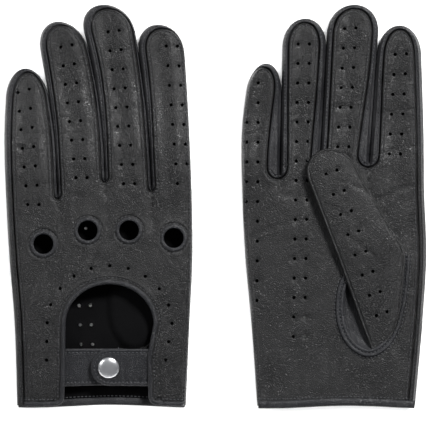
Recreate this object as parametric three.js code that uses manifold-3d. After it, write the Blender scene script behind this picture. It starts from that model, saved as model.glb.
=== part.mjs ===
// A pair of leather driving gloves lying flat side by side.
// Millimetres, +Z up, fingers along +Y, cuffs at the front, index fingers towards +X.
// The left glove lies back up. The right glove lies palm up, and is the same pattern turned
// over. Each glove is a flattened shell of thin leather, cut into the panels it is sewn from.
// Every moving piece hangs in a group whose origin and X axis are its fold or hinge.

import * as THREE from 'three';
import Module from 'manifold-3d';
import { mergeVertices } from 'three/addons/utils/BufferGeometryUtils.js';

const wasm = await Module();
wasm.setup();

// Overall sizes: the pattern below is drawn for these two, and graded when they change.
const PALM_WIDTH = 108;
const GLOVE_LENGTH = 233.7;
const PAIR_SPACING = 136.3;

// Leather and clearances.
const LEATHER = 1;
const GAP = 0.3;
const FINGER_SLOT = 1.2;

// How thick the empty glove lies.
const HAND_HEIGHT = 11;
const CUFF_HEIGHT = 8.7;
const FINGER_HEIGHT = 8.5;
const THUMB_HEIGHT = 7.5;
const EDGE_ROUND = 5;
const TIP_ROUND = 15;
const THUMB_TIP_ROUND = 17;

// Seams: how far the palm wraps over the little-finger edge and the back over the index edge.
const LITTLE_WRAP = 3;
const INDEX_WRAP = 4;
const FOURCHETTE_WRAP = 3;

// Openings and their edges.
const BINDING_WIDTH = 2.5;
const BINDING_PROUD = 0.4;
const CUFF_HEM = 3.8;
const KNUCKLE_HOLE_RADIUS = 5.75;
const KNUCKLE_RIM_WIDTH = 1.75;
const THUMB_HOLE = { x: 23, y: 57, rx: 12, ry: 19, tilt: 16 };
const THUMB_HOLE_MARGIN = 1.5;

// Wrist strap and its press snap. Depths are measured inwards from the face of the back.
const STRAP_WIDTH = 22;
const STRAP_Y = 22.7;
const STRAP_NOSE_X = -4.8;
const STRAP_THICKNESS = 1.5;
const SNAP_X = 5.6;
const SNAP_RADIUS = 6.25;
const SNAP_CAP_HEIGHT = 2;
const SNAP_CAP_RIM = 0.4;
const SNAP_CAP_CROWN = { radius: 0.6, height: 0.82 };
const SNAP_FLANGE = 1;
const SNAP_STEM_RADIUS = 1.2;
const SNAP_BORE_RADIUS = 2.5;
const SNAP_PART_HEIGHT = 1.2;
const SNAP_PLATE = 0.5;
const STRAP_UNDERLAP = 6;

// The pattern. Edges are [y, x] points; y is 0 at the cuff. Four fingers lie between five
// edges, from the outside of the little finger to the outside of the index finger.
const FINGERS = ['little', 'ring', 'middle', 'index'];
const PATTERN_WIDTH = 108;
const PATTERN_LENGTH = 233.7;
const LEFT_PATTERN = {
  edges: [
    [[0, -47.9], [50, -49], [87, -51.9], [125, -54], [160, -54.9], [200, -53.8]],
    [[120, -23.6], [160, -26.3], [200, -33.2]],
    [[125, 3.9], [160, 1.8], [200, -4.8], [235, -13.5]],
    [[125, 30.7], [160, 28.5], [200, 23.5], [235, 18]],
    [[0, 50.2], [50, 52.5], [87, 54.2], [125, 53.7], [160, 52.3], [200, 49.9], [235, 47]],
  ],
  tips: [196.6, 223.9, 233.7, 222.1],
  crotches: [120.6, 130.5, 125.9],
};
const RIGHT_PATTERN = {
  edges: [
    [[0, -44.4], [50, -48], [87, -51.4], [125, -53], [160, -53.4], [200, -49]],
    [[125, -31.5], [160, -30.8], [200, -30.3]],
    [[125, -9.5], [160, -7], [200, -4.8], [235, -3]],
    [[125, 19], [160, 22], [200, 24.8], [235, 27.5]],
    [[0, 47.3], [50, 51.8], [87, 54], [125, 52.8], [160, 52.5], [200, 51.3], [235, 50]],
  ],
  tips: [199.5, 225.6, 233.7, 221.6],
  crotches: [129, 137, 135],
};
const FOLDS = [162, 170, 174, 169];
const PALM_END = 141;
const FINGER_START = 105;
const KNUCKLES = [[-31.9, 94.4], [-6.3, 102.2], [17.6, 102.3], [43.4, 97.9]];
const KEYHOLE = { x: 6.3, y: 48, rx: 25.7, ry: 23.5, left: [[0, -20.6], [48, -19.4]],
  right: [[0, 28.8], [31, 28.2], [48, 32]] };
// The thumb lies folded across the palm: [y, centre x, half width].
const THUMB = [[36, 24.5, 7], [46, 26.3, 9.7], [60, 25.3, 13.9], [75, 23.3, 17.5],
  [90, 20.6, 20.3], [105, 13.5, 19], [120, 6.2, 17.5], [133, -0.1, 16.1], [150, -2.4, 16.1]];
const THUMB_RISE_END = 60;
const THUMB_BASE_HEIGHT = 5.5;

// Stations of the lofts, shared by every surface so that their walls stay parallel.
const HAND_STATIONS = [0, CUFF_HEM, 12, 24, 36, 60, 80, 105, 125, PALM_END];
const FINGER_STATIONS = [FINGER_START, 125, PALM_END, 156];
const RISE_START = 36;
const RISE_END = 60;
const DROOP_START = 156;
const DROOP_END = 190;
const BEFORE_CUFF = -4;
const FINGER_THIN = 165;
const PATTERN_END = 240;
const STALL_STATIONS = [168, 180, 190, 205];
const SLOT_STATIONS = [125, 140, 160, 180, 200];
const LEG_STATIONS = [12, 24, 36];

// Fingertips: stations by angle round the tip, and how the tip narrows and thins towards its end.
const TIP_ANGLES = [0, 35, 60, 80];
const TIP_NARROWING = 0.85;
const TIP_THICKNESS = 0.45;
const TIP_WALL_SHARE = 0.4;

// Cutting prisms: how far they reach past the glove sideways and up and down.
const SIDE_REACH = 6;
const HIGH = 60;
const TURNED_SIDES = 14;

const gradeX = (x) => (x * PALM_WIDTH) / PATTERN_WIDTH;
const gradeY = (y) => (y * GLOVE_LENGTH) / PATTERN_LENGTH;

// Value at y on a line of [y, value] points, continued straight past both ends.
function read(points, y) {
  let i = 1;
  while (i < points.length - 1 && y > points[i][0]) i += 1;
  const [y0, v0] = points[i - 1];
  const [y1, v1] = points[i];
  return v0 + ((v1 - v0) * (y - y0)) / (y1 - y0);
}

// Outer thickness of the lying glove at y, in pattern length.
const height = (y) => read([[0, CUFF_HEIGHT], [RISE_START, CUFF_HEIGHT], [RISE_END, HAND_HEIGHT],
  [PALM_END, HAND_HEIGHT], [FINGER_THIN, FINGER_HEIGHT], [PATTERN_END, FINGER_HEIGHT]], y);

// The left glove's hand lies on its folded thumb, with its cuff and fingertips on the table.
const THUMB_CLEAR = THUMB_HEIGHT + GAP;
const leftBottom = (y) => read([[0, BINDING_PROUD], [RISE_START, THUMB_CLEAR],
  [DROOP_START, THUMB_CLEAR], [DROOP_END, 0], [PATTERN_END, 0]], y);
// The right glove lies on its back, its cuff raised by the snap that stands out of it.
const snapProud = SNAP_CAP_HEIGHT + GAP;
const rightBottom = (y) => read([[0, snapProud], [RISE_START, snapProud], [RISE_END, 0],
  [PATTERN_END, 0]], y);
const rightTop = (y) => Math.min(HAND_HEIGHT, rightBottom(y) + height(y));

const GLOVES = [
  { side: 'left', palmUp: false, x: -PAIR_SPACING / 2, pattern: LEFT_PATTERN,
    bottom: leftBottom, top: (y) => leftBottom(y) + height(y), thumbZ: 0 },
  { side: 'right', palmUp: true, x: PAIR_SPACING / 2, pattern: RIGHT_PATTERN,
    bottom: rightBottom, top: rightTop, thumbZ: HAND_HEIGHT + GAP },
];

// ---- Solids -----------------------------------------------------------------------------

const finish = (color, roughness, metalness) => () => (
  new THREE.MeshStandardMaterial({ color, roughness, metalness }));
const nappa = finish(0x2e3033, 0.5, 0);
const binding = finish(0x232427, 0.45, 0);
const chrome = finish(0xd8dadd, 0.12, 1);

// The bare triangles of a geometry, its shared corners merged.
function merged(geometry) {
  const bare = geometry.clone();
  bare.deleteAttribute('normal');
  bare.deleteAttribute('uv');
  return mergeVertices(bare);
}

// A solid for joining and cutting, from any closed three.js geometry.
function solid(geometry) {
  const bare = merged(geometry);
  return new wasm.Manifold(new wasm.Mesh({
    numProp: 3,
    vertProperties: new Float32Array(bare.attributes.position.array),
    triVerts: new Uint32Array(bare.index.array),
  }));
}

function geometryOf(body) {
  const { vertProperties, triVerts } = body.getMesh();
  const geometry = new THREE.BufferGeometry();
  geometry.setAttribute('position', new THREE.BufferAttribute(new Float32Array(vertProperties), 3));
  geometry.setIndex(new THREE.BufferAttribute(new Uint32Array(triVerts), 1));
  return geometry;
}

// Closed skin through rings that follow each other along +Y, counterclockwise from the front.
function skin(rings) {
  const size = rings[0].length;
  const faces = [];
  for (let r = 0; r < rings.length - 1; r += 1) {
    for (let i = 0; i < size; i += 1) {
      const a = r * size + i;
      const b = r * size + ((i + 1) % size);
      faces.push(a, a + size, b, b, a + size, b + size);
    }
  }
  const last = (rings.length - 1) * size;
  for (let i = 1; i < size - 1; i += 1) {
    faces.push(0, i, i + 1, last, last + i + 1, last + i);
  }
  const geometry = new THREE.BufferGeometry();
  geometry.setAttribute('position', new THREE.Float32BufferAttribute(rings.flat(2), 3));
  geometry.setIndex(faces);
  return geometry;
}

// Flat-topped ring with rounded sides at y, between xl and xr and between z0 and z1.
function flatRing(y, xl, xr, z0, z1) {
  const round = Math.min(EDGE_ROUND, (xr - xl) * 0.49);
  const middle = (z0 + z1) / 2;
  const half = (z1 - z0) / 2;
  const ring = [];
  for (let i = 0; i < 10; i += 1) {
    const right = i < 5;
    const angle = ((right ? i : i - 1) * 45 - 90) * THREE.MathUtils.DEG2RAD;
    const centre = right ? xr - round : xl + round;
    ring.push([centre + round * Math.cos(angle), y, middle + half * Math.sin(angle)]);
  }
  return ring;
}

// Box-like zone between edges that are functions of y, used to cut a glove into its panels.
function zone(stations, xLow, xHigh, zLow, zHigh) {
  return solid(skin(stations.map((s) => {
    const y = gradeY(s);
    const [left, right, low, high] = [xLow(s), xHigh(s), zLow(s), zHigh(s)];
    return [[left, y, low], [right, y, low], [right, y, high], [left, y, high]];
  })));
}

// Upright prism through the whole glove from an outline of [x, y] points.
function prism(outline) {
  const shape = new THREE.Shape(outline.map(([x, y]) => new THREE.Vector2(x, y)));
  const geometry = new THREE.ExtrudeGeometry(shape, { depth: 2 * HIGH, bevelEnabled: false });
  geometry.translate(0, 0, -HIGH);
  return solid(geometry);
}

const joinAll = (bodies) => bodies.reduce((whole, body) => whole.add(body));

// ---- One glove's shell ------------------------------------------------------------------

// Edge i of the pattern at pattern length s, in real width.
const edgeX = (glove, i, s) => gradeX(read(glove.pattern.edges[i], s));

// Left and right side of finger f at s; neighbours keep the finger slot between them.
function fingerSides(glove, f, s) {
  const left = edgeX(glove, f, s) + (f > 0 ? FINGER_SLOT / 2 : 0);
  const right = edgeX(glove, f + 1, s) - (f < 3 ? FINGER_SLOT / 2 : 0);
  return [left, right];
}

function handTube(glove, inset) {
  const stations = inset ? [BEFORE_CUFF, ...HAND_STATIONS.slice(0, -1), PALM_END - inset] : HAND_STATIONS;
  return solid(skin(stations.map((s) => {
    const level = Math.max(s, 0);
    return flatRing(gradeY(s), edgeX(glove, 0, level) + inset, edgeX(glove, 4, level) - inset,
      glove.bottom(level) + inset, glove.top(level) - inset);
  })));
}

// Stations along a finger, closer together round its tip, with the share of its full size.
function tipStations(tip) {
  const start = tip - TIP_ROUND;
  const straight = FINGER_STATIONS.concat(STALL_STATIONS).filter((s) => s < start - 3);
  const list = straight.map((s) => [s, 1]);
  for (const angle of TIP_ANGLES) {
    const turn = angle * THREE.MathUtils.DEG2RAD;
    list.push([start + TIP_ROUND * Math.sin(turn), Math.cos(turn) ** TIP_NARROWING]);
  }
  return list;
}

function fingerTube(glove, f, inset) {
  const tip = glove.pattern.tips[f];
  return solid(skin(tipStations(tip).map(([s, share]) => {
    const level = s - inset * (s > tip - TIP_ROUND ? (s - tip + TIP_ROUND) / TIP_ROUND : 0);
    const [left, right] = fingerSides(glove, f, s);
    const centre = (left + right) / 2;
    const half = ((right - left) / 2) * share - inset;
    const low = glove.bottom(s);
    const high = low + (glove.top(s) - low) * (TIP_THICKNESS + (1 - TIP_THICKNESS) * share);
    const sink = Math.min(inset, (high - low) * TIP_WALL_SHARE);
    return flatRing(gradeY(level), centre - half, centre + half, low + sink, high - sink);
  })));
}

// Upright band along the edge between fingers f and f + 1, from s0 to s1.
function slotBand(glove, f, half, s0, s1) {
  const rows = [s0, ...SLOT_STATIONS.filter((s) => s > s0 + 2 && s < s1 - 2), s1];
  const side = (sign) => rows.map((s) => [edgeX(glove, f + 1, s) + sign * half, gradeY(s)]);
  return prism([...side(1), ...side(-1).reverse()]);
}

// Centre, direction and half width of finger f at its fold.
function foldOf(glove, f) {
  const centreAt = (s) => {
    const [left, right] = fingerSides(glove, f, s);
    return new THREE.Vector2((left + right) / 2, gradeY(s));
  };
  const centre = centreAt(FOLDS[f]);
  const along = centreAt(FOLDS[f] + 12).sub(centreAt(FOLDS[f] - 12)).normalize();
  return { centre, along, across: new THREE.Vector2(along.y, -along.x) };
}

// Upright prism round the part of finger f beyond its fold, moved by shift along the finger.
function beyondFold(glove, f, shift) {
  const { centre, along, across } = foldOf(glove, f);
  const tip = glove.pattern.tips[f] + TIP_ROUND;
  const [left, right] = fingerSides(glove, f, FOLDS[f]);
  const reach = (right - left) / 2;
  const foldPoint = (side) => {
    const outermost = f === (side < 0 ? 0 : 3);
    const spread = reach + (outermost ? SIDE_REACH : FINGER_SLOT / 2);
    const p = centre.clone().addScaledVector(across, side * spread).addScaledVector(along, shift);
    return [p.x, p.y];
  };
  const middle = SLOT_STATIONS.at(-1);
  const rows = [FOLDS[f] + 8, ...(tip > middle + SIDE_REACH ? [middle] : []), tip];
  const outline = (edge, out) => rows.map((s) => [edgeX(glove, edge, s) + out, gradeY(s)]);
  return prism([foldPoint(-1), foldPoint(1), ...outline(f + 1, f < 3 ? 0 : SIDE_REACH),
    ...outline(f, f > 0 ? 0 : -SIDE_REACH).reverse()]);
}

// Where the back ends and the palm begins: halfway down the sides. The palm wraps over the
// little-finger edge and the back over the index edge.
function panelZones(glove) {
  const stations = [BEFORE_CUFF, ...HAND_STATIONS.slice(1), DROOP_START, ...STALL_STATIONS.slice(0, 3),
    PATTERN_END];
  const up = glove.palmUp ? -1 : 1;
  const parting = (s) => (glove.bottom(Math.max(s, 0)) + glove.top(Math.max(s, 0))) / 2;
  const littleSeam = (s) => edgeX(glove, 0, s) + LITTLE_WRAP;
  const indexSeam = (s) => edgeX(glove, 4, s) - INDEX_WRAP;
  const half = (left, right, way) => zone(stations, left, right,
    (s) => (way > 0 ? parting(s) + GAP / 2 : -HIGH),
    (s) => (way > 0 ? HIGH : parting(s) - GAP / 2));
  const wrap = (left, right) => zone(stations, left, right, () => -HIGH, () => HIGH);
  const farLeft = () => -2 * HIGH;
  const farRight = () => 2 * HIGH;
  return {
    back: half((s) => littleSeam(s) + GAP / 2, (s) => edgeX(glove, 4, s) + HIGH, up)
      .add(wrap((s) => indexSeam(s) + GAP / 2, farRight)),
    palm: half((s) => edgeX(glove, 0, s) - HIGH, (s) => indexSeam(s) - GAP / 2, -up)
      .add(wrap(farLeft, (s) => littleSeam(s) - GAP / 2)),
  };
}

// ---- Openings in the panels -------------------------------------------------------------

// The keyhole's edge from the cuff up, over the arch and down again, moved out by offset.
function keyholeEdge(offset, yStart) {
  const points = [];
  for (const s of [yStart, ...LEG_STATIONS]) {
    points.push([gradeX(read(KEYHOLE.left, s)) - offset, gradeY(s)]);
  }
  for (let i = 0; i <= 12; i += 1) {
    const angle = Math.PI * (1 - i / 12);
    points.push([gradeX(KEYHOLE.x) + (gradeX(KEYHOLE.rx) + offset) * Math.cos(angle),
      gradeY(KEYHOLE.y) + (gradeY(KEYHOLE.ry) + offset) * Math.sin(angle)]);
  }
  for (const s of [...LEG_STATIONS.toReversed(), yStart]) {
    points.push([gradeX(read(KEYHOLE.right, s)) + offset, gradeY(s)]);
  }
  return points;
}

function circle(x, y, radius, steps) {
  return Array.from({ length: steps }, (_, i) => {
    const angle = (2 * Math.PI * i) / steps;
    return [x + radius * Math.cos(angle), y + radius * Math.sin(angle)];
  });
}

// Oval where the thumb joins the palm, shrunk by margin.
function thumbOval(margin) {
  const tilt = THUMB_HOLE.tilt * THREE.MathUtils.DEG2RAD;
  return circle(0, 0, 1, 20).map(([u, v]) => {
    const along = v * (THUMB_HOLE.ry - margin);
    const across = u * (THUMB_HOLE.rx - margin);
    return [gradeX(THUMB_HOLE.x) + across * Math.cos(tilt) - along * Math.sin(tilt),
      gradeY(THUMB_HOLE.y) + across * Math.sin(tilt) + along * Math.cos(tilt)];
  });
}

// ---- Pieces laid on the back ------------------------------------------------------------

// Lays a flat piece on the back of the glove: its z is depth, growing into the glove.
function layOnBack(glove, geometry) {
  const laid = merged(geometry);
  const position = laid.attributes.position;
  for (let i = 0; i < position.count; i += 1) {
    const s = (position.getY(i) * PATTERN_LENGTH) / GLOVE_LENGTH;
    const depth = position.getZ(i);
    position.setZ(i, glove.palmUp ? glove.bottom(s) + depth : glove.top(s) - depth);
  }
  if (!glove.palmUp) {
    const index = laid.index.array;
    for (let i = 0; i < index.length; i += 3) [index[i], index[i + 1]] = [index[i + 1], index[i]];
  }
  return laid;
}

// Plate from an outline of [x, y] points, between two depths.
function plate(outline, from, to, holes = []) {
  const shape = new THREE.Shape(outline.map(([x, y]) => new THREE.Vector2(x, y)));
  for (const hole of holes) {
    shape.holes.push(new THREE.Path(hole.map(([x, y]) => new THREE.Vector2(x, y))));
  }
  const geometry = new THREE.ExtrudeGeometry(shape, { depth: to - from, bevelEnabled: false });
  geometry.translate(0, 0, from);
  return geometry;
}

// Turned piece about an upright axis at x, y. Its profile of [radius, depth] points runs from
// the inside outwards at its least depth, and back at its greatest.
function turned(x, y, profile) {
  const points = profile.map(([r, d]) => new THREE.Vector2(r, d));
  const geometry = new THREE.LatheGeometry(points, TURNED_SIDES);
  geometry.rotateX(Math.PI / 2);
  geometry.translate(x, y, 0);
  return geometry;
}

function knuckleRim(x, y) {
  const inner = KNUCKLE_HOLE_RADIUS;
  const outer = inner + KNUCKLE_RIM_WIDTH;
  const low = LEATHER + BINDING_PROUD;
  return turned(x, y, [[inner, 0], [outer, 0], [outer, low], [inner, low], [inner, 0]]);
}

function keyholeBinding() {
  const inside = keyholeEdge(0, 0.5);
  const outside = keyholeEdge(BINDING_WIDTH, 0.5);
  return plate([...inside, ...outside.reverse()], 0, LEATHER + BINDING_PROUD);
}

// Depths of the strap's layers, from the flap's face inwards.
const socketDepth = STRAP_THICKNESS + GAP;
const studDepth = socketDepth + SNAP_PART_HEIGHT + GAP;
const tabDepth = studDepth + SNAP_PLATE + GAP;
const postDepth = tabDepth + STRAP_THICKNESS + GAP;
const strapHingeX = () => gradeX(read(KEYHOLE.right, STRAP_Y)) - GAP;
const snapPlace = () => [gradeX(SNAP_X), gradeY(STRAP_Y)];
const stemHole = () => circle(...snapPlace(), SNAP_STEM_RADIUS + GAP, 12);

function strapFlap() {
  const [, y] = snapPlace();
  const half = STRAP_WIDTH / 2;
  const centre = gradeX(STRAP_NOSE_X) + half;
  const outline = [[strapHingeX(), y - half], [strapHingeX(), y + half]];
  for (let i = 0; i <= 10; i += 1) {
    const angle = Math.PI * (0.5 + i / 10);
    outline.push([centre + half * Math.cos(angle), y + half * Math.sin(angle)]);
  }
  return plate(outline, 0, STRAP_THICKNESS, [stemHole()]);
}

function strapTab() {
  const [x, y] = snapPlace();
  const half = STRAP_WIDTH / 2;
  const left = gradeX(read(KEYHOLE.left, STRAP_Y)) - STRAP_UNDERLAP;
  const right = x + SNAP_RADIUS + SNAP_FLANGE;
  const outline = [[left, y - half], [right, y - half], [right, y + half], [left, y + half]];
  return plate(outline, tabDepth, tabDepth + STRAP_THICKNESS, [stemHole()]);
}

// Domed cap with the stem that goes through the flap into the socket.
function snapCap() {
  const low = -GAP;
  const end = socketDepth + GAP;
  const crown = [SNAP_RADIUS * SNAP_CAP_CROWN.radius, low - SNAP_CAP_HEIGHT * SNAP_CAP_CROWN.height];
  return turned(...snapPlace(), [[0, low - SNAP_CAP_HEIGHT], crown, [SNAP_RADIUS, low - SNAP_CAP_RIM],
    [SNAP_RADIUS, low], [SNAP_STEM_RADIUS, low], [SNAP_STEM_RADIUS, end], [0, end]]);
}

function snapSocket() {
  const outer = SNAP_RADIUS - SNAP_FLANGE;
  const end = socketDepth + SNAP_PART_HEIGHT;
  return turned(...snapPlace(), [[SNAP_BORE_RADIUS, socketDepth], [outer, socketDepth], [outer, end],
    [SNAP_BORE_RADIUS, end], [SNAP_BORE_RADIUS, socketDepth]]);
}

// Stud on the tab: a plate with a knob up into the socket and a stem down through the tab.
function snapStud() {
  const knob = SNAP_BORE_RADIUS - 2 * GAP;
  const top = socketDepth + 2 * GAP;
  const outer = SNAP_RADIUS - SNAP_FLANGE;
  const end = studDepth + SNAP_PLATE;
  return turned(...snapPlace(), [[0, top], [knob, top], [knob, studDepth], [outer, studDepth], [outer, end],
    [SNAP_STEM_RADIUS, end], [SNAP_STEM_RADIUS, postDepth + SNAP_PLATE], [0, postDepth + SNAP_PLATE]]);
}

function snapPost() {
  const inner = SNAP_STEM_RADIUS + GAP;
  const outer = SNAP_RADIUS - 2 * SNAP_FLANGE;
  const end = postDepth + SNAP_PLATE;
  return turned(...snapPlace(), [[inner, postDepth], [outer, postDepth], [outer, end], [inner, end],
    [inner, postDepth]]);
}

// ---- Thumb ------------------------------------------------------------------------------

function thumbTube(glove, inset) {
  const tip = THUMB[THUMB.length - 1][0];
  const start = tip - THUMB_TIP_ROUND;
  const rings = THUMB.filter(([s]) => s <= start).map(([s]) => [s, 1]);
  for (const angle of TIP_ANGLES.slice(1)) {
    const turn = angle * THREE.MathUtils.DEG2RAD;
    rings.push([start + THUMB_TIP_ROUND * Math.sin(turn), Math.cos(turn) ** TIP_NARROWING]);
  }
  return solid(skin(rings.map(([s, share], i) => {
    const centre = gradeX(read(THUMB.map(([y, x]) => [y, x]), s));
    const half = gradeX(read(THUMB.map(([y, , w]) => [y, w]), s)) * share - inset;
    const base = Math.min(1, (s - THUMB[0][0]) / (THUMB_RISE_END - THUMB[0][0]));
    const thick = THUMB_BASE_HEIGHT + (THUMB_HEIGHT - THUMB_BASE_HEIGHT) * base;
    const full = thick * (TIP_THICKNESS + (1 - TIP_THICKNESS) * share);
    const low = glove.palmUp ? glove.thumbZ : glove.thumbZ + THUMB_HEIGHT - full;
    const sink = Math.min(inset, full * TIP_WALL_SHARE);
    const level = s + (i === 0 ? inset : 0) - (share < 1 ? inset * (1 - share) : 0);
    return flatRing(gradeY(level), centre - half, centre + half, low + sink, low + full - sink);
  })));
}

// Two panels: the outer one faces away from the palm, the inner one holds the oval opening.
function thumbPanels(glove) {
  const shell = thumbTube(glove, 0).subtract(thumbTube(glove, LEATHER));
  const middle = glove.thumbZ + THUMB_HEIGHT / 2;
  const wide = () => HIGH * 2;
  const cut = (low, high) => zone([BEFORE_CUFF, PATTERN_END], () => -wide(), wide, () => low, () => high);
  const upper = shell.intersect(cut(middle + GAP / 2, HIGH));
  const lower = shell.intersect(cut(-HIGH, middle - GAP / 2));
  const hole = prism(thumbOval(THUMB_HOLE_MARGIN));
  const [outer, inner] = glove.palmUp ? [upper, lower] : [lower, upper];
  return { outer, inner: inner.subtract(hole) };
}

// ---- One glove --------------------------------------------------------------------------

function mesh(name, geometry, material) {
  geometry.computeVertexNormals();
  const item = new THREE.Mesh(geometry, material);
  item.name = name;
  return item;
}

// Group whose origin is a hinge point and whose X axis is the hinge line.
function hinge(name, origin, axis) {
  const group = new THREE.Group();
  group.name = name;
  group.position.copy(origin);
  group.quaternion.setFromUnitVectors(new THREE.Vector3(1, 0, 0), axis.clone().normalize());
  return group;
}

function leatherShell(glove) {
  const outer = [handTube(glove, 0)];
  const inner = [handTube(glove, LEATHER)];
  const slots = [];
  const walls = [];
  for (let f = 0; f < 4; f += 1) {
    outer.push(fingerTube(glove, f, 0));
    inner.push(fingerTube(glove, f, LEATHER));
  }
  for (let f = 0; f < 3; f += 1) {
    const crotch = glove.pattern.crotches[f];
    slots.push(slotBand(glove, f, FINGER_SLOT / 2, crotch, PALM_END + 5));
    walls.push(slotBand(glove, f, FINGER_SLOT / 2 + LEATHER, crotch - LEATHER, PALM_END + 5));
  }
  const outside = joinAll(outer).subtract(joinAll(slots));
  return outside.subtract(joinAll(inner).subtract(joinAll(walls)));
}

function handPanels(glove, shell, zones) {
  const bands = (extra) => glove.pattern.crotches.map((crotch, f) => (
    slotBand(glove, f, FINGER_SLOT / 2 + FOURCHETTE_WRAP + extra,
      crotch - FOURCHETTE_WRAP - extra, SLOT_STATIONS.at(-1))));
  const beyond = joinAll([0, 1, 2, 3].map((f) => beyondFold(glove, f, -GAP / 2)));
  const hand = shell.subtract(beyond);
  const panels = hand.subtract(joinAll(bands(GAP)));
  const knuckles = KNUCKLES.map(([x, y]) => prism(circle(gradeX(x), gradeY(y),
    KNUCKLE_HOLE_RADIUS + KNUCKLE_RIM_WIDTH + GAP, 20)));
  const keyhole = prism(keyholeEdge(BINDING_WIDTH + GAP, BEFORE_CUFF));
  const hemEnd = gradeY(CUFF_HEM) + GAP;
  const fingerEnd = gradeY(PATTERN_END);
  const behindHem = prism([[-HIGH * 2, hemEnd], [HIGH * 2, hemEnd], [HIGH * 2, fingerEnd],
    [-HIGH * 2, fingerEnd]]);
  return {
    back: panels.intersect(zones.back).subtract(joinAll([...knuckles, keyhole])),
    palm: panels.intersect(zones.palm).intersect(behindHem).subtract(prism(thumbOval(0))),
    fourchettes: bands(0).map((band) => hand.intersect(band)),
  };
}

// Bound edge of the palm at the cuff: a thicker strip over the palm's first millimetres.
function cuffBinding(glove, zones) {
  const hem = prism([[-HIGH * 2, 0], [HIGH * 2, 0], [HIGH * 2, gradeY(CUFF_HEM)],
    [-HIGH * 2, gradeY(CUFF_HEM)]]);
  const ring = handTube(glove, -BINDING_PROUD).subtract(handTube(glove, LEATHER + BINDING_PROUD));
  return ring.intersect(hem).intersect(zones.palm);
}

function fingerGroup(glove, f, shell, zones) {
  const { centre, across } = foldOf(glove, f);
  const top = glove.top(FOLDS[f]);
  const name = `${glove.side}_${FINGERS[f]}`;
  const origin = new THREE.Vector3(centre.x, centre.y, top);
  const group = hinge(`${name}_fold`, origin, new THREE.Vector3(across.x, across.y, 0));
  const finger = shell.intersect(beyondFold(glove, f, GAP / 2));
  for (const face of ['back', 'palm']) {
    group.attach(mesh(`${name}_tip_${face}`, geometryOf(finger.intersect(zones[face])), nappa()));
  }
  return group;
}

function strapGroup(glove) {
  const [, y] = snapPlace();
  const z = (s) => (glove.palmUp ? glove.bottom(s) : glove.top(s));
  const slope = (z(STRAP_Y + 5) - z(STRAP_Y - 5)) / gradeY(10);
  const origin = new THREE.Vector3(strapHingeX(), y, z(STRAP_Y));
  const group = hinge(`${glove.side}_strap_hinge`, origin, new THREE.Vector3(0, 1, slope));
  group.attach(mesh(`${glove.side}_strap_flap`, layOnBack(glove, strapFlap()), nappa()));
  group.attach(mesh(`${glove.side}_snap_cap`, layOnBack(glove, snapCap()), chrome()));
  group.attach(mesh(`${glove.side}_snap_socket`, layOnBack(glove, snapSocket()), chrome()));
  return group;
}

function thumbGroup(glove) {
  const origin = new THREE.Vector3(gradeX(THUMB_HOLE.x), gradeY(THUMB_HOLE.y), glove.thumbZ);
  const group = hinge(`${glove.side}_thumb_swing`, origin, new THREE.Vector3(0, 0, 1));
  const { outer, inner } = thumbPanels(glove);
  group.attach(mesh(`${glove.side}_thumb_outer`, geometryOf(outer), nappa()));
  group.attach(mesh(`${glove.side}_thumb_inner`, geometryOf(inner), nappa()));
  return group;
}

function gloveGroup(glove) {
  const group = new THREE.Group();
  group.name = `${glove.side}_glove`;
  const put = (name, geometry, material) => group.add(mesh(`${glove.side}_${name}`, geometry, material));
  const shell = leatherShell(glove);
  const zones = panelZones(glove);
  const { back, palm, fourchettes } = handPanels(glove, shell, zones);
  put('hand_back', geometryOf(back), nappa());
  put('hand_palm', geometryOf(palm), nappa());
  fourchettes.forEach((body, f) => {
    put(`fourchette_${FINGERS[f]}_${FINGERS[f + 1]}`, geometryOf(body), nappa());
  });
  put('cuff_binding', geometryOf(cuffBinding(glove, zones)), binding());
  put('keyhole_binding', layOnBack(glove, keyholeBinding()), binding());
  KNUCKLES.forEach(([x, y], k) => {
    put(`knuckle_rim_${FINGERS[k]}`, layOnBack(glove, knuckleRim(gradeX(x), gradeY(y))), binding());
  });
  put('strap_tab', layOnBack(glove, strapTab()), nappa());
  put('snap_stud', layOnBack(glove, snapStud()), chrome());
  put('snap_post', layOnBack(glove, snapPost()), chrome());
  group.add(strapGroup(glove), thumbGroup(glove));
  for (let f = 0; f < 4; f += 1) group.add(fingerGroup(glove, f, shell, zones));
  group.position.x = glove.x;
  return group;
}

// The pair, with its origin at the bottom centre of its bounding box.
const gloves = new THREE.Group();
gloves.name = 'driving_gloves';
for (const glove of GLOVES) gloves.add(gloveGroup(glove));
const bounds = new THREE.Box3().setFromObject(gloves, true);
const centre = bounds.getCenter(new THREE.Vector3());
gloves.position.set(-centre.x, -centre.y, -bounds.min.z);

export default gloves;
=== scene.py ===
import math

import bpy
import numpy as np
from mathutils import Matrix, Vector, geometry, noise
from mathutils.kdtree import KDTree


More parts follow.
